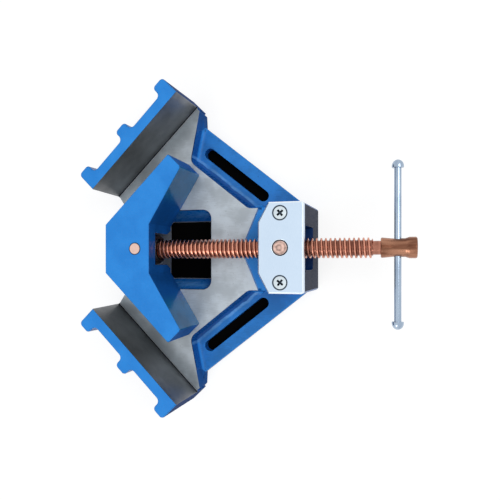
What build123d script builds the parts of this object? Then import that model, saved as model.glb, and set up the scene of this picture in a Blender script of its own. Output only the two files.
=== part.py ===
"""Corner clamp with a floating jaw that presses two workpieces square against two fences.

Millimetres, +Z up. The origin is on the ground, straight under the pivot of the spindle nut.
+X points along the spindle to the tommy bar, and the fences stand at the other end.
"""

import os
from math import cos, radians, sin, tan

from build123d import *

# Clearances between pieces
running_gap = 0.08         # radial, a shaft that turns in its bore
seat_gap = 0.02            # faces that are clamped or pinned together
loose_gap = 0.3            # a piece that slides over or stands beside another

# Body casting: levels
floor_height = 25.0        # machined floor above the ground
arm_height = 10.0          # top of the slotted arms above the ground
fence_height = 55.0        # machined fence faces above the floor

# Body casting: fences, measured along the face from the corner where the two faces would meet
corner_distance = 235.0    # that corner, from the pivot of the nut
fence_start = 80.0
fence_length = 120.0
fence_wall = 10.3
lug_width = 13.0
lug_reach = 9.9            # a lug's back, behind the wall
lug_round = 3.6            # outer corners of a lug
lug_foot_round = 4.5       # hollow corners between lug and wall
fence_draft = 1.2          # degrees
cast_edge_bevel = 0.9      # top edges of the fences' backs
relief_width = 2.2         # groove at the foot of a fence face
relief_depth = 1.2

# Body casting: floor between the fences and the nut housing
floor_land = 5.5           # floor beyond the fence face at the fence's outer end
floor_side_angle = 78.8    # edge from that end down to the arm, from the X axis, degrees
floor_draft = 7.0          # sloped wall from the floor down to the arms, degrees
floor_corner_round = 9.0
floor_run = 13.0           # floor's edge beside the housing, from where the edge bends
wall_foot_round = 5.0      # hollow between that wall and the arm
corner_notch_depth = 84.0  # from the fences' corner to the bottom of the notch between them
corner_notch_width = 28.0  # at the bottom of the notch
notch_round = 7.0

# Body casting: window in the floor under the spindle
window_near = 77.8         # edge towards the nut, from the nut's pivot
window_length = 51.7
window_width = 79.4        # at the floor
window_foot_width = 58.0   # at the ground
window_round = 9.0
window_foot_round = 4.0

# Body casting: slotted arms
arm_angle = 39.0           # an arm's direction below the X axis, degrees
slot_x = 56.0              # middle of a slot, from the nut's pivot
slot_y = 75.2
slot_centres = 70.7        # between the centres of a slot's round ends
slot_width = 11.0          # clears an M10 bolt
arm_outer_edge = 18.0      # slot's centre line to the arm's outer edge
arm_inner_edge = 17.7      # slot's centre line to the floor's edge
arm_edge_round = 2.0

# Body casting: nut housing
housing_width = 79.4
housing_rear = 24.0        # rear face at the ground, from the nut's pivot
housing_draft = 2.8        # rear face, degrees
housing_front = 26.0       # front faces of the cheeks at the pad
pad_height = 5.0           # cast pad round the housing, above the floor
pad_nose = 43.0            # front edge of the pad at the middle, from the nut's pivot
pad_nose_width = 20.0
pad_shoulder = 30.4        # front edge of the pad at the housing's sides
pad_draft = 25.0           # degrees
passage_width = 39.0       # for the nut and the swinging spindle
passage_round = 4.0
vertical_edge_round = 3.0

# Cover plate
plate_thickness = 8.0
plate_rear = 20.4          # from the nut's pivot
plate_front = 19.4
plate_inset = 0.1          # plate's sides, inside the housing's
plate_nose_width = 44.4    # front edge between the two chamfers
plate_shoulder = 10.1      # where a chamfer meets the plate's side
plate_corner_round = 2.4
plate_bevel = 1.2
plate_top = 77.0           # above the ground

# Cover screws, M6 countersunk
screw_margin = 9.6         # from the plate's sides
screw_head = 12.2          # diameter
screw_shank = 5.9
screw_length = 25.0
screw_rim_gap = 0.35       # ring left round the head, radial
screw_sink = 0.3           # head below the plate's top
screw_hole_spare = 8.0     # hole below the screw's end

# Spindle nut
nut_length = 30.0          # along the spindle
nut_width = 30.0
nut_corner_round = 4.0
nut_trunnion = 13.2        # upper, in the cover plate
nut_foot = 16.0            # lower, in the casting
nut_foot_depth = 18.0
trunnion_bevel = 0.6

# Spindle
spindle_height = 50.0      # axis above the ground
thread_diameter = 18.0     # trapezoidal thread, 4 mm pitch
thread_end = 76.4          # towards the tommy bar, from the nut's pivot
thread_bevel = 1.5
neck_diameter = 12.0
neck_length = 6.2          # bare neck between the thread and the head
head_length = 29.6
head_diameter = 18.3
head_inner_diameter = 17.8  # at the end towards the nut
head_waist = 15.9
head_waist_near = 4.5      # straight waist, from the bar's axis towards the nut
head_waist_far = 6.0       # and towards the closed end
head_wall = 3.6            # closed end of the head
head_bevel = 0.8
head_taper_length = 3.4    # from the closed end's full size down to the waist

# Tommy bar
bar_place = 13.9           # the bar's axis, from the start of the head
bar_diameter = 6.0
bar_length = 145.0         # over the caps
bar_offset = 2.5           # the bar's middle beside the spindle
cap_diameter = 10.0
cap_length = 7.0
cap_crown = 2.2            # bevel of a cap's outer end
cap_bore_depth = 4.5

# Swivel jaw, measured from its pivot
jaw_distance = 134.7       # the jaw's pivot, from the nut's pivot
jaw_face_length = 89.1     # each of the two faces
jaw_nose = 30.1            # flat nose between the faces
jaw_nose_width = 45.4
jaw_wing_end = 17.1        # width of a wing's end
jaw_back = 14.3            # flat back in the middle
jaw_back_width = 45.8
jaw_corner_round = 1.2
jaw_top_bevel = 0.6
pocket_width = 30.0
pocket_height = 40.0       # roof of the pocket above the floor
pocket_flare = 4.0         # at the foot of the pocket's mouth
pocket_flare_height = 9.0

# Swivel block and what holds the spindle in it
journal_diameter = 12.0    # end of the spindle
journal_length = 23.5
block_flat = 10.5          # flat rear of the block, from the jaw's pivot
block_drop = 16.0          # bottom of the block below the spindle's axis
pivot_diameter = 11.0      # top journal in the jaw
pivot_bevel = 0.4
washer_diameter = 20.0
washer_thickness = 1.5
pin_diameter = 4.0
pin_length = 26.0
groove_depth = 1.2

# Levels and places that follow from the sizes above
fence_end = fence_start + fence_length
fence_top = floor_height + fence_height
pad_top = floor_height + pad_height
plate_bottom = plate_top - plate_thickness
half_housing = housing_width / 2
half_plate = half_housing - plate_inset
half_passage = passage_width / 2
half_thread = thread_diameter / 2
jaw_bottom = floor_height + loose_gap
pocket_roof = floor_height + pocket_height
block_radius = pocket_width / 2 - running_gap
block_top = pocket_roof - loose_gap
block_bottom = spindle_height - block_drop
washer_front = -jaw_distance + block_flat + running_gap
shoulder = washer_front + washer_thickness + running_gap
journal_tip = shoulder - journal_length
head_start = thread_end + neck_length
head_end = head_start + head_length
bar_distance = head_start + bar_place
fence_frame = Pos(-corner_distance, 0, 0) * Rot(0, 0, 45)
jaw_frame = Pos(-jaw_distance, 0, 0)
tiny = 0.01
past = 1.0                 # a cut or a joined length runs this far past a face


def mirrored(points):
    """Close an outline that is drawn on the +Y side only."""
    return points + [(x, -y) for x, y in reversed(points)]


def face_of(points):
    return make_face(Polyline(mirrored(points), close=True))


def round_at(face, corners, radius):
    """Fillet the outline at the given corners and at their mirror images."""
    picked = []
    for vertex in face.vertices():
        for x, y in corners:
            if abs(vertex.X - x) < tiny and abs(abs(vertex.Y) - abs(y)) < tiny:
                picked.append(vertex)
    return fillet(picked, radius)


def both_sides(shape):
    return shape + mirror(shape, about=Plane.XZ)


def from_corner(along, behind):
    """Plan position from a distance along a fence face and one behind it."""
    spot = fence_frame * Pos(along, behind)
    return (spot.position.X, spot.position.Y)


def beside_slot(offset):
    """A point at the given distance outside a slot's centre line."""
    tilt = radians(arm_angle)
    return (-slot_x + offset * sin(tilt), slot_y + offset * cos(tilt))


def cross(start, angle, other, other_angle):
    """Where the line through start meets the line through other."""
    a, b = radians(angle), radians(other_angle)
    run_x, run_y = other[0] - start[0], other[1] - start[1]
    along = (run_x * sin(b) - run_y * cos(b)) / (cos(a) * sin(b) - sin(a) * cos(b))
    return (start[0] + along * cos(a), start[1] + along * sin(a))


def cylinder_between(radius, low, high, x=0.0, y=0.0):
    return Pos(x, y, low) * extrude(Circle(radius), high - low)


def rod_along_x(radius, start, end, z=spindle_height):
    return extrude(Plane.YZ.offset(start) * Pos(0, z) * Circle(radius), end - start)


# Plan of the floor and the arms
notch_bottom = (-corner_distance + corner_notch_depth, corner_notch_width / 2)
fence_foot = from_corner(fence_start, 0)
floor_end = from_corner(fence_end, -floor_land)
floor_corner = cross(floor_end, floor_side_angle, beside_slot(-arm_inner_edge), -arm_angle)
floor_return = cross(floor_corner, -arm_angle, (0, half_housing), 0)
wall_spread = floor_height * tan(radians(floor_draft))
wall_foot = (floor_end[0] + wall_spread, floor_end[1])
arm_start = cross(wall_foot, floor_side_angle, beside_slot(arm_outer_edge), -arm_angle)
arm_finish = cross(arm_start, -arm_angle, (0, half_housing), 0)
inside_wall = fence_wall / 2


def base_outline():
    """Outline of the floor and the arms on the ground, up to inside the housing."""
    points = [
        notch_bottom,
        fence_foot,
        from_corner(fence_start, inside_wall),
        from_corner(fence_end, inside_wall),
        floor_end,
        arm_start,
        arm_finish,
        (0, half_passage),
    ]
    return round_at(face_of(points), [notch_bottom], notch_round)


def floor_outline():
    """Edge of the machined floor, which runs in under the fences and the housing."""
    points = [
        notch_bottom,
        fence_foot,
        from_corner(fence_start, inside_wall),
        from_corner(fence_end, inside_wall),
        floor_end,
        floor_corner,
        floor_return,
        (floor_return[0] + floor_run, half_housing),
        (0, half_passage),
    ]
    face = round_at(face_of(points), [notch_bottom], notch_round)
    return round_at(face, [floor_corner, floor_return], floor_corner_round)


def floor_arms_and_housing():
    """Thick floor with a drafted wall down to the two thin arms, and the housing on it."""
    ground = base_outline()
    block = extrude(Pos(0, 0, floor_height) * floor_outline(), -floor_height, taper=-floor_draft)
    block = block & extrude(ground, floor_height)
    body = block + extrude(ground, arm_height) + housing()
    level = body.edges().filter_by_position(Axis.Z, arm_height - tiny, arm_height + tiny)
    body = fillet([edge for edge in level if on_wall_foot(edge)], wall_foot_round)
    level = body.edges().filter_by_position(Axis.Z, arm_height - tiny, arm_height + tiny)
    return fillet([edge for edge in level if on_arm_rim(edge)], arm_edge_round)


def outside_slot(spot):
    """Distance of a place outside the centre line of the slot on its side."""
    tilt = radians(arm_angle)
    return (spot.X + slot_x) * sin(tilt) + (abs(spot.Y) - slot_y) * cos(tilt)


def on_arm_rim(edge):
    """True for the outer top edges of the arms."""
    return abs(outside_slot(edge.position_at(0.5)) - arm_outer_edge) < tiny


def on_wall_foot(edge):
    """True for the edges where the floor's wall stands on an arm."""
    middle = edge.position_at(0.5)
    return middle.X < -housing_front and outside_slot(middle) < arm_outer_edge - tiny


def fence():
    """One fence: a wall with a machined face and three lugs down its back."""
    wall = Pos(fence_start + fence_length / 2, fence_wall / 2) * Rectangle(fence_length, fence_wall)
    depth = fence_wall + lug_reach
    places = [fence_start + lug_width / 2, fence_start + fence_length / 2, fence_end - lug_width / 2]
    plan = wall
    for place in places:
        plan += Pos(place, depth / 2) * Rectangle(lug_width, depth)
    feet = [v for v in plan.vertices() if abs(v.Y - fence_wall) < tiny and inside_ends(v.X)]
    plan = fillet(feet, lug_foot_round)
    heads = [v for v in plan.vertices() if abs(v.Y - depth) < tiny]
    plan = fillet(heads, lug_round)
    body = extrude(Pos(0, 0, fence_top) * plan, -fence_top, taper=-fence_draft)
    brow = body.edges().filter_by_position(Axis.Z, fence_top - tiny, fence_top + tiny)
    body = chamfer([edge for edge in brow if edge.position_at(0.5).Y > tiny], cast_edge_bevel)
    room = Pos(fence_start + fence_length / 2, -fence_wall / 2, floor_height + fence_height / 2)
    body -= room * Box(2 * fence_length, fence_wall, fence_height)
    return fence_frame * body


def inside_ends(along):
    return fence_start + tiny < along < fence_end - tiny


def relief_groove():
    """Groove in the floor along the foot of a fence face."""
    cut = Box(2 * fence_length, relief_width, 2 * relief_depth)
    place = Pos(fence_start + fence_length / 2, -relief_width / 2, floor_height)
    return fence_frame * place * cut


def housing():
    """Cheeks that carry the cover plate, and the pad that they stand on."""
    lean = tan(radians(housing_draft))
    side = [
        (-housing_front, 0),
        (housing_rear, 0),
        (housing_rear - plate_bottom * lean, plate_bottom),
        (-plate_front, plate_bottom),
        (-housing_front, pad_top),
    ]
    section = Plane.XZ * make_face(Polyline(side, close=True))
    block = extrude(section, half_housing, both=True)
    block = fillet(block.edges().filter_by(on_rear_corner), vertical_edge_round)
    block -= both_sides(front_corner_cut())
    return block + pad()


def on_rear_corner(edge):
    """True for the two upright rear edges of the housing."""
    middle = edge.center()
    return middle.X > plate_front and abs(middle.Y) > half_housing - tiny


def passage():
    """Open passage through the housing for the nut and the swinging spindle."""
    front = -pad_nose - past
    slot = Plane.YZ.offset(front) * passage_section()
    return extrude(slot, housing_rear + past - front)


def front_corner_cut():
    """Wedge that takes a front corner of the housing back to the cover plate's chamfer."""
    inner = (-plate_front, plate_nose_width / 2)
    outer = (-plate_shoulder, half_plate)
    slope = (outer[1] - inner[1]) / (outer[0] - inner[0])
    reach = housing_front + past
    front = (-reach, inner[1] - slope * (reach - plate_front))
    side = (outer[0] + past / slope, half_housing + past)
    wedge = make_face(Polyline([front, side, (front[0], side[1])], close=True))
    return extrude(Pos(0, 0, pad_top) * wedge, fence_height)


def passage_section():
    """Section of the open passage, with round corners at its bottom."""
    depth = 2 * fence_height
    section = Pos(0, pad_top + depth / 2) * Rectangle(passage_width, depth)
    bottom = section.vertices().sort_by(Axis.Z)[:2]
    return fillet(bottom, passage_round)


def pad():
    """Low cast pad round the foot of the housing."""
    points = [
        (0, half_housing),
        (-pad_shoulder, half_housing),
        (-pad_nose, pad_nose_width / 2),
    ]
    foot = Pos(0, 0, floor_height) * face_of(points)
    return extrude(foot, pad_height, dir=(0, 0, 1), taper=pad_draft)


def floor_window():
    """Window through the floor, with sides that slope in towards the ground."""
    middle = -window_near - window_length / 2
    lip = Pos(middle, 0, floor_height) * RectangleRounded(window_length, window_width, window_round)
    foot = Pos(middle, 0, 0) * RectangleRounded(window_length, window_foot_width, window_foot_round)
    return loft([foot, lip])


def arm_slot():
    centre_line = Pos(-slot_x, slot_y, 0) * Rot(0, 0, -arm_angle)
    return extrude(centre_line * SlotCenterToCenter(slot_centres, slot_width), floor_height)


def screw_places():
    offset = half_plate - screw_margin
    return [offset, -offset]


def body_casting():
    """The one-piece casting: floor, arms, fences and nut housing."""
    body = floor_arms_and_housing() + both_sides(fence())
    body -= passage()
    body -= both_sides(relief_groove() + arm_slot())
    body -= floor_window()
    bore = nut_foot / 2 + running_gap
    body -= cylinder_between(bore, pad_top - nut_foot_depth - loose_gap, plate_bottom)
    for y in screw_places():
        low = plate_top - screw_length - screw_hole_spare
        body -= cylinder_between(screw_shank / 2 + seat_gap, low, plate_top, y=y)
    return body


def cover_plate():
    """Plate over the nut: chamfered front corners, bevelled rim, two countersunk holes."""
    points = [
        (-plate_front, plate_nose_width / 2),
        (-plate_shoulder, half_plate),
        (plate_rear, half_plate),
    ]
    face = round_at(face_of(points), [(plate_rear, half_plate)], plate_corner_round)
    plate = extrude(Pos(0, 0, plate_bottom + seat_gap) * face, plate_thickness - seat_gap)
    rim = plate.edges().filter_by_position(Axis.Z, plate_top - tiny, plate_top + tiny)
    plate = chamfer(rim, plate_bevel)
    plate -= cylinder_between(nut_trunnion / 2 + running_gap, plate_bottom, plate_top)
    plate -= mouth_bevel(nut_trunnion / 2 + running_gap, plate_top)
    sink_radius = screw_head / 2 + screw_rim_gap
    for y in screw_places():
        plate -= Pos(0, y, 0) * countersink(sink_radius, screw_shank / 2 + loose_gap)
    return plate


def mouth_bevel(radius, top):
    """Small bevel at the top edge of a bore."""
    profile = [
        (0, top),
        (radius + trunnion_bevel, top),
        (radius, top - trunnion_bevel),
        (0, top - trunnion_bevel),
    ]
    return revolve(Plane.XZ * make_face(Polyline(profile, close=True)), Axis.Z)


def countersink(rim_radius, hole_radius):
    """A 90 degree countersink with its hole, cut from the plate's top down."""
    neck = plate_top - (rim_radius - hole_radius)
    profile = [
        (0, plate_top),
        (rim_radius, plate_top),
        (hole_radius, neck),
        (hole_radius, plate_bottom),
        (0, plate_bottom),
    ]
    return revolve(Plane.XZ * make_face(Polyline(profile, close=True)), Axis.Z)


def cover_screw(y):
    """Countersunk screw: a 90 degree head on a plain shank."""
    top = plate_top - screw_sink
    rim = screw_head / 2
    shank = screw_shank / 2
    profile = [
        (0, top),
        (rim, top),
        (rim, top - seat_gap),
        (shank, top - seat_gap - (rim - shank)),
        (shank, plate_top - screw_length),
        (0, plate_top - screw_length),
    ]
    return Pos(0, y, 0) * revolve(Plane.XZ * make_face(Polyline(profile, close=True)), Axis.Z)


def spindle_nut():
    """Block in the passage, with a trunnion in the plate and one in the casting."""
    low = pad_top + loose_gap
    high = plate_bottom - loose_gap
    block = Pos(0, 0, low) * extrude(RectangleRounded(nut_length, nut_width, nut_corner_round), high - low)
    block += cylinder_between(nut_foot / 2, pad_top - nut_foot_depth, low)
    stub = cylinder_between(nut_trunnion / 2, high, plate_top)
    stub = chamfer(stub.edges().sort_by(Axis.Z)[-1], trunnion_bevel)
    bore = rod_along_x(half_thread + running_gap, -nut_length, nut_length)
    return block + stub - bore


def spindle():
    """Threaded rod, drawn at its outer diameter, with an end journal and a neck for the head."""
    rod = rod_along_x(half_thread, shoulder, thread_end)
    rod = chamfer(rod.edges().filter_by(GeomType.CIRCLE), thread_bevel)
    rod += rod_along_x(journal_diameter / 2, journal_tip, shoulder + past)
    rod += rod_along_x(neck_diameter / 2, thread_end - past, head_end - head_wall - seat_gap)
    middle = -jaw_distance
    half_groove = pin_diameter / 2 + running_gap
    ring = rod_along_x(journal_diameter, middle - half_groove, middle + half_groove)
    ring -= rod_along_x(journal_diameter / 2 - groove_depth, middle - half_groove, middle + half_groove)
    return rod - ring - bar_hole()


def bar_hole():
    radius = bar_diameter / 2 + running_gap
    section = Plane.XZ * Pos(bar_distance, spindle_height) * Circle(radius)
    return extrude(section, head_diameter, both=True)


def spindle_head():
    """Turned sleeve on the spindle's end. It narrows to a waist where the bar passes through."""
    full = head_diameter / 2
    waist = head_waist / 2
    waist_end = bar_distance + head_waist_far
    profile = Polyline(
        (head_start, 0),
        (head_start, head_inner_diameter / 2),
        (bar_distance - head_waist_near, waist),
        (waist_end, waist),
        (waist_end + head_taper_length, full),
        (head_end, full),
        (head_end, 0),
        close=True,
    )
    section = Plane.XZ * Pos(0, spindle_height) * make_face(profile)
    axis = Axis((0, 0, spindle_height), (1, 0, 0))
    head = revolve(section, axis)
    rims = head.edges().filter_by(GeomType.CIRCLE).sort_by(Axis.X)
    head = chamfer([rims[0], rims[-1]], head_bevel)
    bore = rod_along_x(neck_diameter / 2 + seat_gap, head_start, head_end - head_wall)
    return head - bore - bar_hole()


def bar_cap_place(side):
    """Outer end of the bar on one side."""
    return bar_offset + side * bar_length / 2


def tommy_bar():
    half = bar_length / 2 - cap_length + cap_bore_depth - seat_gap
    section = Plane.XZ.offset(-bar_offset) * Pos(bar_distance, spindle_height) * Circle(bar_diameter / 2)
    return extrude(section, half, both=True)


def bar_cap(side):
    """Turned cap with a bevelled crown on one end of the bar."""
    turned = extrude(Plane.XZ * Circle(cap_diameter / 2), -cap_length)
    crown = turned.edges().filter_by(GeomType.CIRCLE).sort_by(Axis.Y)[-1]
    bore = extrude(Plane.XZ * Circle(bar_diameter / 2 + seat_gap), -cap_bore_depth)
    cap = chamfer(crown, cap_crown) - bore
    if side < 0:
        cap = mirror(cap, about=Plane.XZ)
    return Pos(bar_distance, bar_cap_place(side) - side * cap_length, spindle_height) * cap


def jaw_plan():
    """Plan of the jaw: flat nose, two faces at 90 degrees, two wings and a flat back."""
    diagonal = cos(radians(45))
    nose = (-jaw_nose, jaw_nose_width / 2)
    tip = (nose[0] + jaw_face_length * diagonal, nose[1] + jaw_face_length * diagonal)
    heel = (tip[0] + jaw_wing_end * diagonal, tip[1] - jaw_wing_end * diagonal)
    back = (jaw_back, jaw_back_width / 2)
    return [nose, tip, heel, back]


def swivel_jaw():
    """V-shaped jaw with a pocket for the swivel block, open to the back and below."""
    corners = jaw_plan()
    plan = round_at(face_of(corners), corners, jaw_corner_round)
    jaw = extrude(Pos(0, 0, jaw_bottom) * plan, fence_top - jaw_bottom)
    top = jaw.edges().filter_by_position(Axis.Z, fence_top - tiny, fence_top + tiny)
    jaw = chamfer(top, jaw_top_bevel)
    radius = pocket_width / 2
    pocket = cylinder_between(radius, 0, pocket_roof)
    pocket += Pos(jaw_nose, 0, pocket_roof / 2) * Box(2 * jaw_nose, pocket_width, pocket_roof)
    jaw -= pocket
    foot = [
        (radius, jaw_bottom + pocket_flare_height),
        (radius + pocket_flare, jaw_bottom),
        (0, jaw_bottom),
    ]
    flare = Plane.YZ * make_face(Polyline(foot, close=True))
    jaw -= both_sides(extrude(flare, jaw_nose))
    jaw -= cylinder_between(pivot_diameter / 2 + running_gap, pocket_roof, fence_top)
    return jaw_frame * jaw


def swivel_block():
    """Round block that turns in the jaw's pocket and takes the spindle's end journal."""
    block = cylinder_between(block_radius, block_bottom, block_top)
    block -= Pos(block_flat + block_radius, 0, (block_top + block_bottom) / 2) * Box(
        2 * block_radius, 2 * block_radius, block_top - block_bottom
    )
    pivot = cylinder_between(pivot_diameter / 2, block_top, fence_top)
    block += chamfer(pivot.edges().sort_by(Axis.Z)[-1], pivot_bevel)
    block = jaw_frame * block
    block -= rod_along_x(journal_diameter / 2 + running_gap, journal_tip - loose_gap, 0)
    for y in pin_places():
        block -= tip_pin(y, seat_gap)
    return block


def pin_places():
    offset = journal_diameter / 2 - groove_depth + pin_diameter / 2 + running_gap
    return [offset, -offset]


def tip_pin(y, gap=0.0):
    """Tangent pin that lies in the journal's groove and holds the spindle in the block."""
    length = pin_length + gap
    return cylinder_between(pin_diameter / 2 + gap, block_bottom, block_bottom + length, -jaw_distance, y)


def thrust_washer():
    ring = rod_along_x(washer_diameter / 2, washer_front, washer_front + washer_thickness)
    return ring - rod_along_x(journal_diameter / 2 + running_gap, washer_front - past, shoulder + past)


def tip_pins():
    return Compound([tip_pin(y) for y in pin_places()])


os.makedirs("parts", exist_ok=True)

pieces = {
    "body_casting": body_casting(),
    "cover_plate": cover_plate(),
    "cover_screw_left": cover_screw(screw_places()[0]),
    "cover_screw_right": cover_screw(screw_places()[1]),
    "spindle_nut": spindle_nut(),
    "spindle": spindle(),
    "spindle_head": spindle_head(),
    "tommy_bar": tommy_bar(),
    "bar_cap_left": bar_cap(1),
    "bar_cap_right": bar_cap(-1),
    "swivel_jaw": swivel_jaw(),
    "swivel_block": swivel_block(),
    "thrust_washer": thrust_washer(),
    "swivel_pins": tip_pins(),
}

for name, piece in pieces.items():
    export_step(piece, f"parts/{name}.step")
    print(f"{name}: {piece.volume / 1000:.2f} cm3")
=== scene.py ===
# %% [markdown]
# # A corner clamp, dressed for the camera
#
# The clamp is a heavy iron casting with two fences at a right angle, a V-shaped jaw on a screw
# and a nut that swivels under a small steel cover. The solids already have the right size and
# place, so this lesson is about finish: soft casting edges, gloss enamel beside bare machined
# iron, copper plating, and the few forms that the solids leave out.

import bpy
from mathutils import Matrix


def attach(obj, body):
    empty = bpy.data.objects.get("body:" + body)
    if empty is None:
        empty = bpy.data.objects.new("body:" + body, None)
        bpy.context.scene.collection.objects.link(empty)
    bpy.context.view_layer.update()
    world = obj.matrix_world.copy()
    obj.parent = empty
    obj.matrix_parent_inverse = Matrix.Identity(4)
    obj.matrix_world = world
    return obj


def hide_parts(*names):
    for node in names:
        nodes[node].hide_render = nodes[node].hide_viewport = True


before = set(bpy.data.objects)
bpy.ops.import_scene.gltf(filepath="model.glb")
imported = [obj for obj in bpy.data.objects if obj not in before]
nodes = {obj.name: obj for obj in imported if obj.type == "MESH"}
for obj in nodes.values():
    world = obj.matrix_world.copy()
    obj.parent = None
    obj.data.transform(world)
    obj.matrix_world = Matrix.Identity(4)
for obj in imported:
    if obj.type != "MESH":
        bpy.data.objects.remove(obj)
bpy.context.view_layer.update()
print("pieces:", sorted(nodes))

# %% [markdown]
# Blender works in metres and a clamp is drawn in millimetres. One value turns the second into
# the first, so that every size further down reads as it does on the drawing.

# %% Tools and units
from math import cos, floor, pi, radians, sin, sqrt, tan

import bmesh
import bpy
from mathutils import Vector

mm = 0.001
print("one millimetre is", mm, "of Blender's units")

# %% [markdown]
# The photograph looks down on the clamp from close by, tilted a little towards the fences. Its
# camera was found by matching the corners of the fences, the cover and the bar. A shifted lens
# moves the clamp to its place in the picture. Turning the camera would do that too, but it
# would change the angle at which the two fences meet.

# %% Camera
camera_place = (0.0852, -0.0117, 0.5468)
camera_turn = (-0.002, 0.301, 0.0)
camera_lens = 39.84
camera_sensor = 36
camera_shift = (0.0758, 0.0249)

lens = bpy.data.cameras.new("camera")
lens.lens = camera_lens
lens.sensor_width = camera_sensor
lens.shift_x, lens.shift_y = camera_shift
camera = bpy.data.objects.new("camera", lens)
camera.location = camera_place
camera.rotation_euler = camera_turn
bpy.context.scene.collection.objects.link(camera)
bpy.context.scene.camera = camera
print("camera height in mm:", round(camera_place[2] / mm))

# %% [markdown]
# The sky and every finish are small networks of nodes. They could be wired by hand in the
# shader editor, but a script that builds them is easier to read and to change. Three helpers
# do most of it: one links a socket or writes a value, one does sums, one splits a vector.

# %% Node helpers


def join(tree, value, socket):
    """Link a socket, or write a plain value."""
    if isinstance(value, bpy.types.NodeSocket):
        tree.links.new(value, socket)
    else:
        socket.default_value = value


def maths(tree, operation, *values):
    node = tree.nodes.new("ShaderNodeMath")
    node.operation = operation
    for value, socket in zip(values, node.inputs):
        join(tree, value, socket)
    return node.outputs[0]


def split(tree, vector):
    node = tree.nodes.new("ShaderNodeSeparateXYZ")
    join(tree, vector, node.inputs[0])
    return node.outputs


print("helpers:", join.__name__, maths.__name__, split.__name__)

# %% [markdown]
# A plain studio: a sky that is bright overhead and dim at the horizon lights the clamp. Level
# faces see its bright top and upright ones its dim edge, so a painted wall comes out darker
# than the level paint beside it, as in the photograph. That sky is for diffuse light alone.
# The camera, mirrors and glass see plain white, which is the photograph's background, because
# a backdrop that is white only for the camera would leave the steel looking black.

# %% Sky
sky_low = 0.12
sky_high = 1.08
sky_tint = (0.97, 0.99, 1.0)

scene = bpy.context.scene
scene.view_settings.view_transform = "Standard"
world = bpy.data.worlds.new("studio")
scene.world = world
world.use_nodes = True
sky = world.node_tree

direction = sky.nodes.new("ShaderNodeTexCoord").outputs["Generated"]
height = maths(sky, "MAXIMUM", split(sky, direction)["Z"], 0.0)
steep = maths(sky, "MULTIPLY", height, height)
glow = maths(sky, "MULTIPLY_ADD", steep, sky_high - sky_low, sky_low)
backdrop = sky.nodes["Background"]
backdrop.inputs["Color"].default_value = (*sky_tint, 1.0)
ray = sky.nodes.new("ShaderNodeLightPath").outputs
mirrored = maths(sky, "MAXIMUM", ray["Is Glossy Ray"], ray["Is Transmission Ray"])
seen = maths(sky, "MAXIMUM", ray["Is Camera Ray"], mirrored)
join(sky, maths(sky, "MAXIMUM", glow, seen), backdrop.inputs["Strength"])
print("sky from", sky_low, "to", sky_high)

# %% [markdown]
# Two large soft lamps add a little direction. They stand off to the handle's side and to the
# side of one fence, where no level face mirrors them into the camera. Brighter lamps would
# give crisper shadows, but the photograph has hardly any.

# %% Lamps
clamp_middle = (-0.05, 0, 0)
lamp_size = 0.7


def soft_lamp(name, place, watts):
    """A square lamp that faces the middle of the clamp."""
    light = bpy.data.lights.new(name, "AREA")
    light.size = lamp_size
    light.energy = watts
    lamp = bpy.data.objects.new(name, light)
    lamp.location = place
    aim = Vector(clamp_middle) - Vector(place)
    lamp.rotation_euler = aim.to_track_quat("-Z", "Y").to_euler()
    scene.collection.objects.link(lamp)


soft_lamp("handle_side", (0.75, 0.35, 1.2), 4.5)
soft_lamp("fence_side", (-0.5, -1.1, 1.1), 4)

# %% [markdown]
# The floor is a plain pale sheet. The photograph's ground is pure white, and a lamp bright
# enough to burn the floor out would burn the cover plate too. So most of the floor's white is
# a glow that only the camera and mirrors see, and a grey diffuse part under it keeps the
# shadow.

# %% Floor
floor_reach = 3.0
floor_corners = 48
floor_drop = 0.6 * mm
floor_grey = 0.30
floor_glow = 0.79

floor_mesh = bpy.data.meshes.new("floor")
turns = [2 * pi * step / floor_corners for step in range(floor_corners)]
rim = [(floor_reach * cos(turn), floor_reach * sin(turn), -floor_drop) for turn in turns]
floor_mesh.from_pydata(rim, [], [list(range(floor_corners))])
ground = bpy.data.objects.new("floor", floor_mesh)
scene.collection.objects.link(ground)

floor_paint = bpy.data.materials.new("pale_floor")
floor_paint.use_nodes = True
tree = floor_paint.node_tree
shader = tree.nodes["Principled BSDF"]
shader.inputs["Base Color"].default_value = (floor_grey, floor_grey, floor_grey, 1)
shader.inputs["Roughness"].default_value = 0.9
shader.inputs["Specular IOR Level"].default_value = 0.0
path = tree.nodes.new("ShaderNodeLightPath").outputs
seen = maths(tree, "ADD", path["Is Camera Ray"], path["Is Glossy Ray"])
seen = maths(tree, "ADD", seen, path["Is Transmission Ray"])
join(tree, maths(tree, "MULTIPLY", seen, floor_glow), shader.inputs["Emission Strength"])
shader.inputs["Emission Color"].default_value = (1, 1, 1, 1)
floor_mesh.materials.append(floor_paint)
print("floor radius in m:", floor_reach)

# %% [markdown]
# In the photograph the slots and the window are black. The openings could be filled, but then they
# would be no openings. Instead a thin black mat lies under each one as painted shade, a little
# larger than the opening and inside the casting's own outline, so it shows nowhere else.

# %% Dark mats
mat_level = -0.3 * mm
mat_margin = 2 * mm
slot_middle = (-56 * mm, 75.2 * mm)
slot_half_run = 35.35 * mm
slot_radius = 5.5 * mm
slot_turn = radians(39)
window_far = -129.5 * mm
window_near = -77.8 * mm
window_half_width = 29 * mm
end_steps = 12

# painted shade: a black material for the mats under the openings
shade_mat_black = bpy.data.materials.new("painted_shade_mat")
shade_mat_black.use_nodes = True
shader = shade_mat_black.node_tree.nodes["Principled BSDF"]
shader.inputs["Base Color"].default_value = (0.003, 0.003, 0.003, 1)
shader.inputs["Roughness"].default_value = 1.0
shader.inputs["Specular IOR Level"].default_value = 0.0


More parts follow.
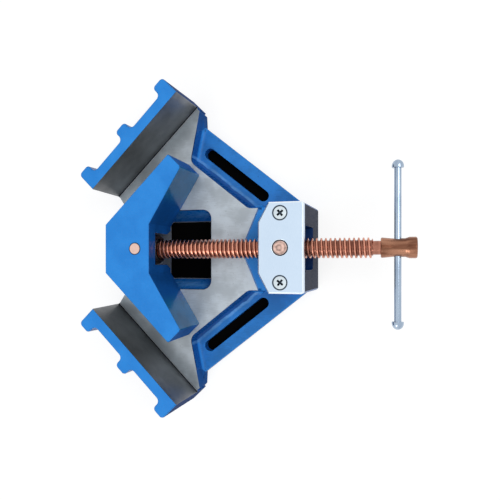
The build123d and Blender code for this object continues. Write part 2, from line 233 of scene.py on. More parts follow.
def lay_mat(name, outline):
    mesh = bpy.data.meshes.new(name)
    mesh.from_pydata([(x, y, mat_level) for x, y in outline], [], [list(range(len(outline)))])
    mesh.materials.append(shade_mat_black)
    mat = bpy.data.objects.new(name, mesh)
    scene.collection.objects.link(mat)


def slot_outline(side):
    """A slot's round-ended outline with a margin, on the side of +Y or -Y."""
    reach = slot_radius + mat_margin
    outline = []
    for end in (1, -1):
        for step in range(end_steps + 1):
            angle = pi * step / end_steps - pi / 2
            x = end * (slot_half_run + reach * cos(angle))
            y = end * reach * sin(angle)
            along = x * cos(slot_turn) + y * sin(slot_turn)
            across = y * cos(slot_turn) - x * sin(slot_turn)
            outline.append((slot_middle[0] + along, side * (slot_middle[1] + across)))
    return outline


lay_mat("mat_under_left_slot", slot_outline(1))
lay_mat("mat_under_right_slot", slot_outline(-1))
near, far = window_near + mat_margin, window_far - mat_margin
wide = window_half_width + mat_margin
lay_mat("mat_under_window", [(near, -wide), (near, wide), (far, wide), (far, -wide)])

# %% [markdown]
# A finish starts from a few plain values. The colours in this lesson were judged against the
# photograph as ordinary screen colours, so one helper turns such a colour into the linear one
# that the shader wants, and another makes a material with its colour, metal and roughness.

# %% Colours and plain finishes


def ink(red, green, blue):
    """Screen colour from 0 to 255 as the linear colour of a shader."""
    linear = []
    for value in (red, green, blue):
        steep_part = ((value / 255 + 0.055) / 1.055) ** 2.4
        linear.append(steep_part if value > 10 else value / 255 / 12.92)
    return (*linear, 1.0)


def darker(colour, share):
    """The same colour with less light in it."""
    return tuple(share * value for value in colour[:3]) + (1.0,)


def new_finish(name, colour, metallic, roughness):
    """A material with plain values, its node tree and its shader."""
    material = bpy.data.materials.new(name)
    material.use_nodes = True
    shader = material.node_tree.nodes["Principled BSDF"]
    shader.inputs["Base Color"].default_value = colour
    shader.inputs["Metallic"].default_value = metallic
    shader.inputs["Roughness"].default_value = roughness
    material.diffuse_color = colour
    return material, material.node_tree, shader


print("a mid grey:", [round(v, 3) for v in ink(128, 128, 128)])

# %% [markdown]
# Real finishes are never even. Each helper here adds one kind of unevenness: clouds of noise,
# a soft step from one value to another, a mix of two colours, a shallow relief. The patterns
# are fixed to the piece's own space, so that they travel with a piece when it moves. Blender's
# noise keeps to the middle of its range, so two spans say which part of it a ramp stretches.
# Its Mix node numbers its sockets over every kind of value, so the ones for colour have names.

# %% Pattern helpers
bevel_samples = 6
wide_span, narrow_span = (0.3, 0.7), (0.35, 0.65)
mix_share, mix_first, mix_second, mix_result = 0, 6, 7, 2


def own_space(tree):
    """Place and facing in the piece's own space."""
    found = tree.nodes.new("ShaderNodeTexCoord").outputs
    return found["Object"], found["Normal"]


def noise(tree, place, scale, detail=3.0, stretch=(1, 1, 1)):
    """Cloudy pattern from 0 to 1; scale counts clouds in a metre."""
    scaled = tree.nodes.new("ShaderNodeVectorMath")
    scaled.operation = "MULTIPLY"
    join(tree, place, scaled.inputs[0])
    scaled.inputs[1].default_value = stretch
    cloud = tree.nodes.new("ShaderNodeTexNoise")
    join(tree, scaled.outputs[0], cloud.inputs["Vector"])
    cloud.inputs["Scale"].default_value = scale
    cloud.inputs["Detail"].default_value = detail
    return cloud.outputs["Fac"]


def ramp(tree, value, low, high, start=0.0, end=1.0):
    """Rise smoothly from start to end while the value goes from low to high."""
    node = tree.nodes.new("ShaderNodeMapRange")
    node.interpolation_type = "SMOOTHSTEP"
    for given, socket in zip((value, low, high, start, end), node.inputs):
        join(tree, given, socket)
    return node.outputs[0]


def blend(tree, share, first, second):
    """Mix two colours."""
    node = tree.nodes.new("ShaderNodeMix")
    node.data_type = "RGBA"
    join(tree, share, node.inputs[mix_share])
    join(tree, first, node.inputs[mix_first])
    join(tree, second, node.inputs[mix_second])
    return node.outputs[mix_result]


def relief(tree, shader, value, depth):
    """Bump of the given depth in metres."""
    bump = tree.nodes.new("ShaderNodeBump")
    bump.inputs["Distance"].default_value = depth
    join(tree, value, bump.inputs["Height"])
    join(tree, bump.outputs[0], shader.inputs["Normal"])


def rounded(tree, radius):
    """A normal that turns smoothly round every edge, as if it were eased by the radius."""
    node = tree.nodes.new("ShaderNodeBevel")
    node.samples = bevel_samples
    node.inputs["Radius"].default_value = radius
    return node.outputs[0]


print("patterns:", noise.__name__, ramp.__name__, blend.__name__, relief.__name__)

# %% [markdown]
# The castings are painted all over in a gloss blue enamel and then machined bare where the
# work rests: the floor, the two fence faces, the two faces of the jaw and the rear of the nut
# housing. Each finish could be a material of its own on faces picked by hand. One material
# holds both here, because on the real casting they are one surface: a share from 0 to 1 says
# how much of a finish shows at a point, and it follows from the place and the facing.

# %% Shares of a finish
half_root = sqrt(0.5)
facing_from, facing_to = 0.93, 0.97
edge_softness = 0.1 * mm


def vector(tree, x, y, z):
    node = tree.nodes.new("ShaderNodeCombineXYZ")
    for value, socket in zip((x, y, z), node.inputs):
        join(tree, value, socket)
    return node.outputs[0]


def faces(tree, facing, direction):
    """1 where the surface looks along the direction."""
    node = tree.nodes.new("ShaderNodeVectorMath")
    node.operation = "DOT_PRODUCT"
    join(tree, facing, node.inputs[0])
    join(tree, direction, node.inputs[1])
    return ramp(tree, node.outputs["Value"], facing_from, facing_to)


def above(tree, value, limit, softness=edge_softness):
    """1 where the value is over the limit, with a narrow soft edge."""
    return ramp(tree, value, limit - softness, limit + softness)


def below(tree, value, limit, softness=edge_softness):
    return ramp(tree, value, limit - softness, limit + softness, 1.0, 0.0)


def both(tree, *shares):
    """The product of several shares: 1 where all of them are 1."""
    product = shares[0]
    for share in shares[1:]:
        product = maths(tree, "MULTIPLY", product, share)
    return product


def between(tree, value, low, high, softness=edge_softness):
    return both(tree, above(tree, value, low, softness), below(tree, value, high, softness))


print("a share's edge is", round(2 * edge_softness / mm, 1), "mm wide")

# %% [markdown]
# The body's finishes ask the same questions again and again: how far from the middle, how far
# behind a fence's face, how far along it, level or upright. They are answered once, for both
# sides of the clamp together, and a little noise makes one height wander, since paint never
# ends in a straight line beside a milling cutter.

# %% Where a point of the body lies
floor_level = 25 * mm
fence_corner = -235 * mm
fence_end = 200 * mm
level_from, level_to = 0.8, 0.9
ragged_by = 0.9 * mm
fence_gap = 0.5 * mm
hollow_from = -28 * mm


class Spot:
    """A point of the body, as its finishes ask for it."""

    def __init__(self, tree, place, facing):
        where = split(tree, place)
        self.place, self.facing = place, facing
        self.x, self.z = where["X"], where["Z"]
        self.beside = maths(tree, "ABSOLUTE", where["Y"])
        self.outward = maths(tree, "MULTIPLY", maths(tree, "SIGN", where["Y"]), half_root)
        from_corner = maths(tree, "SUBTRACT", self.x, fence_corner)
        behind = maths(tree, "SUBTRACT", self.beside, from_corner)
        self.behind = maths(tree, "MULTIPLY", behind, half_root)
        along = maths(tree, "ADD", self.beside, from_corner)
        self.along = maths(tree, "MULTIPLY", along, half_root)
        self.up = ramp(tree, split(tree, facing)["Z"], level_from, level_to)
        self.wall = maths(tree, "SUBTRACT", 1.0, self.up)
        wander = noise(tree, place, scale=160, detail=4)
        wander = maths(tree, "MULTIPLY_ADD", wander, ragged_by, -ragged_by / 2)
        self.ragged_z = maths(tree, "ADD", self.z, wander)
        self.in_front = below(tree, self.behind, -fence_gap)
        past_housing = below(tree, self.x, hollow_from)
        self.hollow = both(tree, self.wall, self.in_front, past_housing)


print("fences end", round(fence_end / mm), "mm from the corner where their faces would meet")

# %% [markdown]
# On the two slotted arms the strip at the foot of the floor's wall gets painted shade, a darker
# enamel, and a pale, glossy painted highlight where that shade ends. A noise on the distance from
# the slot gives the highlight its uneven line. Painting it by hand would tie it to one mesh.

# %% Painted shade and highlight on the arms
enamel_dull = ink(42, 134, 220)
# painted shade: darker enamel at the foot of the floor's wall
enamel_pool_shade = ink(12, 92, 176)
# painted highlight: pale enamel for glossy streaks, on the arms and the window's slopes
enamel_painted_highlight = ink(104, 172, 240)
arm_from_middle = 42 * mm
arm_far = -108 * mm
shade_edge = 12.8 * mm
highlight_edge = 10.4 * mm
highlight_drift = 4.4 * mm


def towards_floor(tree, spot):
    """Distance from a slot's centre line towards the floor, the same on both arms."""
    along = maths(tree, "SUBTRACT", spot.x, slot_middle[0])
    along = maths(tree, "MULTIPLY", along, -sin(slot_turn))
    across = maths(tree, "SUBTRACT", spot.beside, slot_middle[1])
    return maths(tree, "MULTIPLY_ADD", across, -cos(slot_turn), along)


def arm_paint(tree, spot):
    """Finishes as (share, colour, roughness, metallic)."""
    on_arm = both(
        tree,
        below(tree, spot.z, floor_level - 1 * mm),
        above(tree, spot.beside, arm_from_middle),
        spot.in_front,
        above(tree, spot.x, arm_far),
    )
    drift = noise(tree, spot.place, scale=55, detail=3)
    drift = maths(tree, "MULTIPLY_ADD", drift, highlight_drift, -highlight_drift / 2)
    inner = maths(tree, "ADD", towards_floor(tree, spot), drift)
    # painted shade where the strip lies deep
    pool_shade = both(tree, on_arm, above(tree, inner, shade_edge, 0.5 * mm))
    # painted highlight along the edge of that shade
    arm_highlight = both(
        tree,
        on_arm,
        above(tree, inner, highlight_edge, 0.8 * mm),
        below(tree, inner, shade_edge, 0.6 * mm),
        ramp(tree, noise(tree, spot.place, scale=80, detail=2), 0.35, 0.55, 0.3, 0.9),
    )
    return [
        (both(tree, on_arm, spot.up), enamel_dull, 0.32, 0.0),
        (pool_shade, enamel_pool_shade, 0.26, 0.0),
        (arm_highlight, enamel_painted_highlight, 0.2, 0.0),
    ]


# where the painted shade begins beside a slot's centre line
print("paint pools from", round(shade_edge / mm, 1), "mm beside a slot's centre line")

# %% [markdown]
# Four more places on the walls have a blue or a bareness of their own. The window's two sloped
# sides carry pale streaks of painted highlight, the wall is darker in a thin band along the
# machined floor's rim, the passage for the nut gets painted shade, and the window's far wall is
# cut bare.

# %% Walls of the window, the rim and the passage
enamel_rim = ink(10, 58, 118)
# painted shade: the dark blue inside the passage for the nut
enamel_shade_inside = ink(12, 62, 128)
floor_iron = ink(205, 213, 220)
slope_half_width = 41 * mm
slope_low, slope_high = 9 * mm, 18 * mm
rim_height = 1.5 * mm
passage_half = 19.8 * mm
far_wall_half = 26 * mm


def wall_paint(tree, spot):
    streaks = noise(tree, spot.place, scale=90, detail=3, stretch=(0.4, 1.6, 1.6))
    # painted highlight: pale streaks on the window's slopes
    slope = both(
        tree,
        spot.wall,
        below(tree, spot.beside, slope_half_width),
        below(tree, spot.x, window_near + 1.8 * mm),
        between(tree, spot.z, slope_low, slope_high, 3 * mm),
        ramp(tree, streaks, 0.44, 0.6, 0.1, 0.7),
    )
    rim = both(
        tree,
        spot.hollow,
        above(tree, spot.ragged_z, floor_level - rim_height),
        below(tree, spot.z, floor_level),
    )
    # painted shade in the passage
    passage_shade = both(
        tree,
        above(tree, spot.z, floor_level + 2 * mm),
        below(tree, spot.beside, passage_half),
        above(tree, spot.x, 0.0),
    )
    far_wall = both(
        tree,
        between(tree, spot.x, window_far - 5 * mm, window_far + 5 * mm),
        below(tree, spot.beside, far_wall_half),
        spot.wall,
        below(tree, spot.z, floor_level - 0.2 * mm),
    )
    return [
        (slope, enamel_painted_highlight, 0.2, 0.0),
        (rim, enamel_rim, 0.3, 0.0),
        (passage_shade, enamel_shade_inside, 0.35, 0.0),
        (far_wall, floor_iron, 0.4, 0.5),
    ]


print("the rim's dark line is", round(rim_height / mm, 1), "mm high")

# %% [markdown]
# The floor is milled flat and then used: it is pale grey iron, with painted shade that greys it
# along the feet of the fences, and the window's lower lip is a pale line. Only level faces at the
# floor's own height are bare, which leaves the pad round the nut housing and the two arms blue.

# %% Bare floor
# painted shade: the greyer iron along the fences' feet
corner_shade = ink(158, 168, 176)
pale_lip = ink(176, 188, 202)
corner_shade_from, corner_shade_to = -22 * mm, -3 * mm
lip_height = 2 * mm
lip_half_width = 33 * mm


def floor_finish(tree, spot):
    at_height = between(tree, spot.z, floor_level - 0.3 * mm, floor_level + 1 * mm)
    on_floor = both(tree, spot.up, at_height)
    # painted shade near the fences' feet
    shaded_corner = both(
        tree,
        on_floor,
        ramp(tree, spot.behind, corner_shade_from, corner_shade_to, 0.0, 0.8),
        above(tree, spot.x, fence_corner + 5 * mm),
    )
    lip = both(
        tree,
        spot.wall,
        below(tree, spot.ragged_z, lip_height, 0.4 * mm),
        below(tree, spot.beside, lip_half_width),
        between(tree, spot.x, window_far - 3 * mm, window_near + 7.8 * mm),
    )
    return [
        (on_floor, floor_iron, 0.5, 0.6),
        (shaded_corner, corner_shade, 0.5, 0.55),
        (lip, pale_lip, 0.4, 0.2),
    ]


print("floor's height in mm:", round(floor_level / mm))

# %% [markdown]
# A fence's face is ground iron like the floor, but it stands upright and shows the camera the dim
# side of the room, so its colour is written darker. The groove at its foot gets painted shade, a
# thin dark line between face and floor. The fence's outer end and the wall below it are dull, and
# their blue is written darker as painted shade. A gloss there would mirror the white studio at a
# flat angle and draw a pale edge that the photograph doesn't have.

# %% Fences
fence_iron = ink(137, 139, 141)
groove_iron = ink(176, 182, 188)
# painted shade: the dark line in the groove at a fence's foot
groove_shade = ink(34, 37, 40)
# painted shade: the darker blue of upright walls
enamel_wall_shade = ink(28, 102, 186)
# painted shade: the dark blue of the fences' outer ends
enamel_end_shade = ink(12, 60, 124)
groove_width = 2.2 * mm
groove_depth = 1.2 * mm
shade_line_width = 0.8 * mm
end_wall_run = 15 * mm
end_wall_reach = -16 * mm


def fence_finish(tree, spot):
    inward = maths(tree, "MULTIPLY", spot.outward, -1.0)
    looks_in = faces(tree, spot.facing, vector(tree, half_root, inward, 0.0))
    looks_out = faces(tree, spot.facing, vector(tree, half_root, spot.outward, 0.0))
    on_fence = both(tree, looks_in, above(tree, spot.z, floor_level))
    in_groove = both(
        tree,
        between(tree, spot.z, floor_level - groove_depth - 0.4 * mm, floor_level - 0.1 * mm),
        between(tree, spot.behind, -groove_width - 0.2 * mm, 0.2 * mm),
    )
    # painted shade in the groove beside the fence's face
    dirt_and_shade_line = both(tree, in_groove, above(tree, spot.behind, -shade_line_width))
    # painted shade on the fence's outer end
    outer_end = both(
        tree,
        looks_out,
        above(tree, spot.behind, -0.2 * mm),
        above(tree, spot.along, fence_end - 1 * mm),
    )
    end_wall = both(
        tree,
        spot.hollow,
        above(tree, spot.along, fence_end - end_wall_run, 1.5 * mm),
        above(tree, spot.behind, end_wall_reach),
    )
    return [
        (on_fence, fence_iron, 0.36, 0.85),
        (in_groove, groove_iron, 0.5, 0.2),
        (dirt_and_shade_line, groove_shade, 0.8, 0.0),
        (outer_end, enamel_end_shade, 0.8, 0.0),
        (end_wall, enamel_wall_shade, 0.75, 0.0),
    ]


# width of the painted shade line in the groove
print("line of dirt in mm:", round(shade_line_width / mm, 1))

# %% [markdown]
# The rear of the nut housing was milled too, and like a fence's face it shows the dim side of the
# room, so its iron is written almost black as painted shade. The underside is ground, so that the
# clamp doesn't rock. With these two the body's list is complete. A later finish in the list covers
# an earlier one, as a later coat would.

# %% Rear, underside and the whole body
# painted shade: the almost black iron of the housing's rear
rear_iron_shade = ink(50, 56, 76)
rear_face = 19.6 * mm
rear_half_width = 39.2 * mm
rear_brow = 68.5 * mm


def rear_and_base(tree, spot):
    rear = both(
        tree,
        above(tree, spot.x, rear_face),
        above(tree, spot.z, 0.5 * mm),
        below(tree, spot.beside, rear_half_width),
    )
    looks_back = faces(tree, spot.facing, (1, 0, 0))
    brow = above(tree, spot.z, rear_brow)
    on_rear = both(tree, rear, maths(tree, "MAXIMUM", looks_back, brow))
    looks_down = faces(tree, spot.facing, (0, 0, -1))
    on_base = both(tree, looks_down, below(tree, spot.z, 0.3 * mm))
    return [(on_rear, rear_iron_shade, 0.7, 0.0), (on_base, fence_iron, 0.45, 0.85)]


def body_finishes(tree, place, facing):
    """All finishes of the body, in the order of the coats."""
    spot = Spot(tree, place, facing)
    coats = arm_paint(tree, spot) + wall_paint(tree, spot) + floor_finish(tree, spot)
    return coats + fence_finish(tree, spot) + rear_and_base(tree, spot)


print("the rear is bare beyond", round(rear_face / mm, 1), "mm from the nut's pivot")

# %% [markdown]
# The jaw is bare on the two faces that press on the work, on the underside that slides and in the
# bored pocket. The backs of its wings are the smoothest enamel on the clamp; they carry the darker
# blue of painted shade, and towards the wings' ends a greener, paler blue that is a painted
# reflection of the floor. The ends themselves are dull, like the ends of the fences, and carry the
# same painted shade.

# %% The jaw's finishes
# painted reflection: the greener, paler blue towards the wings' ends
enamel_painted_reflection = ink(36, 124, 182)
back_from, back_softness = 0.78, 0.03
reflection_from, reflection_softness = 47 * mm, 6 * mm
pocket_half = 15.2 * mm
pocket_roof = floor_level + 39.5 * mm
pocket_reach = (-150 * mm, -121 * mm)


def jaw_finishes(tree, place, facing):
    where = split(tree, place)
    beside = maths(tree, "ABSOLUTE", where["Y"])
    outward = maths(tree, "MULTIPLY", maths(tree, "SIGN", where["Y"]), half_root)
    on_face = faces(tree, facing, vector(tree, -half_root, outward, 0.0))
    wing_end = faces(tree, facing, vector(tree, half_root, outward, 0.0))
    # painted shade on the wings' backs
    wing_back = above(tree, split(tree, facing)["X"], back_from, back_softness)
    # painted reflection of the floor on the wings' backs
    reflected_back = both(tree, wing_back, above(tree, beside, reflection_from, reflection_softness))
    looks_down = faces(tree, facing, (0, 0, -1))
    on_base = both(tree, looks_down, below(tree, where["Z"], floor_level + 0.8 * mm))
    pocket = both(
        tree,
        below(tree, beside, pocket_half),
        below(tree, where["Z"], pocket_roof),
        between(tree, where["X"], *pocket_reach),
    )
    return [
        (wing_back, enamel_wall_shade, 0.16, 0.0),
        (reflected_back, enamel_painted_reflection, 0.16, 0.0),
        (wing_end, enamel_wall_shade, 0.75, 0.0),
        (pocket, floor_iron, 0.4, 0.6),
        (on_face, fence_iron, 0.36, 0.85),
        (on_base, fence_iron, 0.4, 0.85),
    ]


print("pocket's half width in mm:", round(pocket_half / mm, 1))

# %% [markdown]
# A casting keeps the skin of its sand mould: long soft waves on the sides and a finer grain
# all over. Where it is machined, the skin is gone and tool marks and pores take its place.
# Both are shallow enough for bump. The bump starts from a normal that is rounded at every
# edge, because real paint has no sharp corner anywhere.

# %% Cast skin
skin_depth = 0.12 * mm
paint_round = 0.7 * mm


def cast_skin(tree, place, facing, metal, brushed, pores):
    """Normal of the surface: sand waves, fine skin, and tool marks where it is bare."""
    high = above(tree, split(tree, place)["Z"], floor_level + 1 * mm)
    top = both(tree, high, ramp(tree, split(tree, facing)["Z"], 0.9, 0.97))
    lower = maths(tree, "SUBTRACT", 1.0, top)
    waves = both(tree, noise(tree, place, scale=34, detail=2), lower)
    grain = maths(tree, "MULTIPLY", noise(tree, place, scale=140, detail=2), 0.25)
    skin = maths(tree, "MULTIPLY_ADD", waves, 3.5, grain)
    pits = maths(tree, "MULTIPLY", pores, -0.1)
    cut = maths(tree, "MULTIPLY_ADD", brushed, 0.1, pits)
    bare = ramp(tree, metal, 0.1, 0.4)
    bump = tree.nodes.new("ShaderNodeBump")
    bump.inputs["Distance"].default_value = skin_depth
    changed = maths(tree, "SUBTRACT", cut, skin)
    join(tree, maths(tree, "MULTIPLY_ADD", bare, changed, skin), bump.inputs["Height"])
    join(tree, rounded(tree, paint_round), bump.inputs["Normal"])
    return bump.outputs[0]


print("skin's depth in mm:", round(skin_depth / mm, 2))

# %% [markdown]
# Now the coats go on, one after the other. The enamel comes first, with clouds of thinner paint,
# and painted shade that makes the upright walls darker. Each finish of the list then replaces
# colour, roughness and metal by its share, stained by the same clouds and brushed by the same
# scratches, so that bare iron and paint look as if they had aged together.

# %% Painted and machined iron
enamel = ink(46, 148, 238)
enamel_thin = ink(38, 138, 228)
enamel_gloss = 0.22
stain_depth = 0.72
polish, scuff = 0.05, 0.07


def painted_iron(name, own_finishes):
    """Enamelled casting; own_finishes lists what differs from plain enamel, and where."""
    material, tree, shader = new_finish(name, enamel, 0.0, 0.25)
    shader.inputs["Specular IOR Level"].default_value = enamel_gloss
    place, facing = own_space(tree)
    clouds = noise(tree, place, scale=42, detail=6)
    fine = noise(tree, place, scale=190, detail=3)
    brushed = noise(tree, place, scale=150, detail=4, stretch=(1, 7, 1))
    pores = below(tree, noise(tree, place, scale=520, detail=2), 0.31, 0.03)
    tilt = maths(tree, "ABSOLUTE", split(tree, facing)["Z"])
    colour = blend(tree, ramp(tree, clouds, *narrow_span), enamel_thin, enamel)
    # painted shade: upright faces take the darker wall blue
    colour = blend(tree, below(tree, tilt, 0.4, 0.2), colour, enamel_wall_shade)
    roughness = ramp(tree, fine, *wide_span, 0.24, 0.33)
    stains = maths(tree, "MULTIPLY_ADD", clouds, 0.8, maths(tree, "MULTIPLY", brushed, 0.2))
    stains = ramp(tree, stains, 0.38, 0.62)
    stains = maths(tree, "SUBTRACT", stains, maths(tree, "MULTIPLY", pores, 0.9))
    metal = 0.0
    for share, finish, rough, metallic in own_finishes(tree, place, facing):
        stained = blend(tree, stains, darker(finish, stain_depth), finish)
        colour = blend(tree, share, colour, stained)
        worn = ramp(tree, brushed, *wide_span, rough - polish, rough + scuff)
        rougher = maths(tree, "SUBTRACT", worn, roughness)
        roughness = maths(tree, "MULTIPLY_ADD", share, rougher, roughness)
        barer = maths(tree, "SUBTRACT", metallic, metal)
        metal = maths(tree, "MULTIPLY_ADD", share, barer, metal)
    join(tree, colour, shader.inputs["Base Color"])
    join(tree, roughness, shader.inputs["Roughness"])
    join(tree, metal, shader.inputs["Metallic"])
    normal = cast_skin(tree, place, facing, metal, brushed, pores)
    join(tree, normal, shader.inputs["Normal"])
    return material


body_iron = painted_iron("body_enamel_and_iron", body_finishes)
jaw_iron = painted_iron("jaw_enamel_and_iron", jaw_finishes)
print("nodes in the body's finish:", len(body_iron.node_tree.nodes))

# %% [markdown]
# A sand casting has no sharp edge: the pattern is eased so that it leaves the sand, and the
# paint rounds what is left. The solids stop at crisp edges, so each piece gets a bevel
# modifier, after a weld that joins the mesh where the file had split it and a dissolve that
# turns its triangles back into whole faces. Without that dissolve, the bevel's corners shoot
# out as spikes wherever a long thin triangle meets an edge. The body's hollows are narrow, so
# its bevel stays as fine as that of a ground steel edge, and the jaw and the head get more.

# %% Soft edges
weld_gap = 0.001 * mm
same_face = radians(0.5)
edge_angle = radians(28)
bevel_steps = 2


def soften(name, width, material):
    """Ease a solid's edges and give it its finish."""
    piece = nodes[name]
    piece.modifiers.new("weld", "WELD").merge_threshold = weld_gap
    whole = piece.modifiers.new("whole_faces", "DECIMATE")
    whole.decimate_type = "DISSOLVE"
    whole.angle_limit = same_face
    bevel = piece.modifiers.new("eased_edges", "BEVEL")
    bevel.width = width
    bevel.segments = bevel_steps
    bevel.angle_limit = edge_angle
    bevel.use_clamp_overlap = False
    piece.modifiers.new("even_normals", "WEIGHTED_NORMAL")
    piece.material_slots[0].material = material
    print(name, "eased by", round(width / mm, 2), "mm")


soften("body_casting", 0.2 * mm, body_iron)
soften("swivel_jaw", 0.4 * mm, jaw_iron)

# %% [markdown]
# The screw is where the eye goes, so its thread is real geometry. It is a trapezoidal thread
# of 18 mm with a 4 mm pitch: flat crests, flat roots and flanks that lean 15 degrees. Such a
# thread could be a screw modifier on a drawn tooth. Here the surface is built row by row, as
# a lathe cuts it: each row is a place on the tooth, and it climbs one pitch in a full turn.

# %% Thread sizes
axis_height = 50 * mm
pitch = 4 * mm
crest = 9 * mm
root = 6.75 * mm
flank_lean = radians(15)
corner_ease = 0.14 * mm

flank = (crest - root) * tan(flank_lean)
crest_flat = 0.3 * pitch
root_flat = pitch - crest_flat - 2 * flank


def eased(travel, radius, rising):
    """Two points in place of a sharp corner between a flat and a flank."""
    along, out = corner_ease * sin(flank_lean), corner_ease * cos(flank_lean)
    on_root = radius == root
    on_flat = (travel - corner_ease if rising == on_root else travel + corner_ease, radius)
    step = out if on_root else -out
    on_flank = (travel + along if rising == on_root else travel - along, radius + step)
    return [on_flat, on_flank] if rising == on_root else [on_flank, on_flat]


tooth = eased(root_flat, root, True)
tooth += eased(root_flat + flank, crest, True)
tooth += eased(root_flat + flank + crest_flat, crest, False)
tooth += eased(pitch, root, False)
print("tooth, travel and radius in mm:", [(round(t / mm, 2), round(r / mm, 2)) for t, r in tooth])

# %% [markdown]
# A turner chamfers both ends of the thread, so that a nut starts on it without force. The
# rows do the same: no point reaches further out than the chamfer allows, and a row that would
# pass an end is held there. The thread is a single start, so row and turn join up one pitch
# further along. A model of separate rings would be simpler, and it would look wrong at once,
# because the crests wouldn't lean.

# %% Cut the thread
round_sides = 72
thread_from, thread_to = -122.46 * mm, 76.4 * mm
thread_chamfer = 1.5 * mm
spare_turns = 2


def ring_point(x, radius, angle):
    """A point round the screw's axis; positive angles turn from +Y towards +Z."""
    return (x, radius * cos(angle), axis_height + radius * sin(angle))


def thread_point(turn, side, travel, radius):
    """A point of the thread, held inside its two ends and under their chamfers."""
    x = thread_from + pitch * (turn + side / round_sides) + travel
    inset = min(x - thread_from, thread_to - x)
    limit = max(root, crest - thread_chamfer + max(inset, 0))
    reach = min(radius, limit) if inset > 0 else root
    held = min(max(x, thread_from), thread_to)
    return ring_point(held, reach, 2 * pi * side / round_sides)


def cut_thread():
    """Rows of points that climb one pitch in a turn."""
    turns = range(-spare_turns, floor((thread_to - thread_from) / pitch) + spare_turns)
    places = [(turn, travel, radius) for turn in turns for travel, radius in tooth]
    points, quads = [], []
    for turn, travel, radius in places:
        for side in range(round_sides):
            points.append(thread_point(turn, side, travel, radius))
    for row in range(len(places) - 1):
        for side in range(round_sides):
            this, after = row * round_sides + side, (row + 1) * round_sides + side
            if side + 1 < round_sides:
                quads.append((this, this + 1, after + 1, after))
            elif row + 1 + len(tooth) < len(places):
                climbed = (row + len(tooth)) * round_sides
                quads.append((this, climbed, climbed + round_sides, after))
    return points, quads


thread = cut_thread()
print("thread:", len(thread[0]), "points,", len(thread[1]), "faces")

# %% [markdown]
# Both ends of the screw are plain lathe work: a journal with a groove for the two pins that
# hold the jaw, and a neck that runs into the head. One helper turns any list of rings, and
# the screws and caps further down use it too. The neck stands in the head's own bore, so the
# seam between the two is out of sight.

# %% Turn the two ends
journal = 6 * mm
journal_ease = 0.5 * mm
groove = 4.8 * mm
groove_from, groove_to = -136.78 * mm, -132.62 * mm
screw_tip = -146.0 * mm
neck_end = 92 * mm


def turned(rings, put=ring_point):
    """Lathe work through rings of (travel, radius); a radius may depend on the angle."""
    points, quads = [], []
    for travel, radius in rings:
        for side in range(round_sides):
            angle = 2 * pi * side / round_sides
            reach = radius(angle) if callable(radius) else radius
            points.append(put(travel, reach, angle))
    for row in range(len(rings) - 1):
        for side in range(round_sides):
            beside = (side + 1) % round_sides
            first, second = row * round_sides, (row + 1) * round_sides
            quads.append((first + side, first + beside, second + beside, second + side))
    return points, quads


front_end = turned([
    (screw_tip, 0.0), (screw_tip, journal - journal_ease), (screw_tip + journal_ease, journal),
    (groove_from, journal), (groove_from, groove),
    (groove_to, groove), (groove_to, journal),
    (thread_from, journal), (thread_from, root),
])
rear_end = turned([(thread_to, root), (thread_to, journal), (neck_end, journal), (neck_end, 0.0)])
print("faces of the two ends:", len(front_end[1]), len(rear_end[1]))

# %% [markdown]
# Three surfaces become one solid when the points that they share are welded. The count of
# open edges shows whether they closed. The new mesh then takes the plain spindle's place and
# rides on the same link, so it turns and travels as the plain one did.

# %% Build the screw
shared_points = 0.002 * mm
sliver = 0.001 * mm
crease_angle = radians(30)


def build_mesh(name, parts):
    """One mesh of several surfaces, welded where they meet."""
    form = bmesh.new()
    for points, quads in parts:
        made = [form.verts.new(point) for point in points]
        for quad in quads:
            form.faces.new([made[i] for i in quad])
    bmesh.ops.remove_doubles(form, verts=form.verts, dist=shared_points)
    bmesh.ops.dissolve_degenerate(form, edges=form.edges, dist=sliver)
    bmesh.ops.recalc_face_normals(form, faces=form.faces)
    mesh = bpy.data.meshes.new(name)
    form.to_mesh(mesh)
    open_edges = sum(1 for edge in form.edges if len(edge.link_faces) != 2)
    print(name, len(mesh.polygons), "faces,", open_edges, "open edges")
    form.free()
    mesh.shade_smooth()
    mesh.set_sharp_from_angle(angle=crease_angle)
    piece = bpy.data.objects.new(name, mesh)
    scene.collection.objects.link(piece)
    return piece


threaded = build_mesh("threaded_spindle", [front_end, thread, rear_end])
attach(threaded, "spindle")
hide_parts("spindle")

# %% [markdown]
# Copper plating is bright where the nut polishes it and dull where it doesn't reach. Distance from
# the axis tells the two apart, so the crests come out pink and clean and the roots brown, and the
# brown roots are also painted shade down in the thread. Behind the nut the copper turns a little
# darker, and the neck, which no nut ever touches, is dull.
# The head sees hands instead of a nut, so its copper is browner and blotched all over.

# %% Copper
copper_crest = ink(236, 164, 138)
# dull plating and painted shade in the thread's roots
copper_root_dull_and_shade = ink(84, 42, 34)
copper_hands = ink(184, 132, 106)
copper_deep = ink(82, 42, 27)
rear_darkening_to = 20 * mm
rear_darkening_share, neck_shine = 0.8, 0.3
polish_weight = 0.8
scratch_depth = 0.02 * mm


def axis_distance(tree, place):
    """Distance from the screw's axis."""
    where = split(tree, place)
    up = maths(tree, "SUBTRACT", where["Z"], axis_height)
    across = maths(tree, "MULTIPLY", where["Y"], where["Y"])
    return maths(tree, "SQRT", maths(tree, "MULTIPLY_ADD", up, up, across))


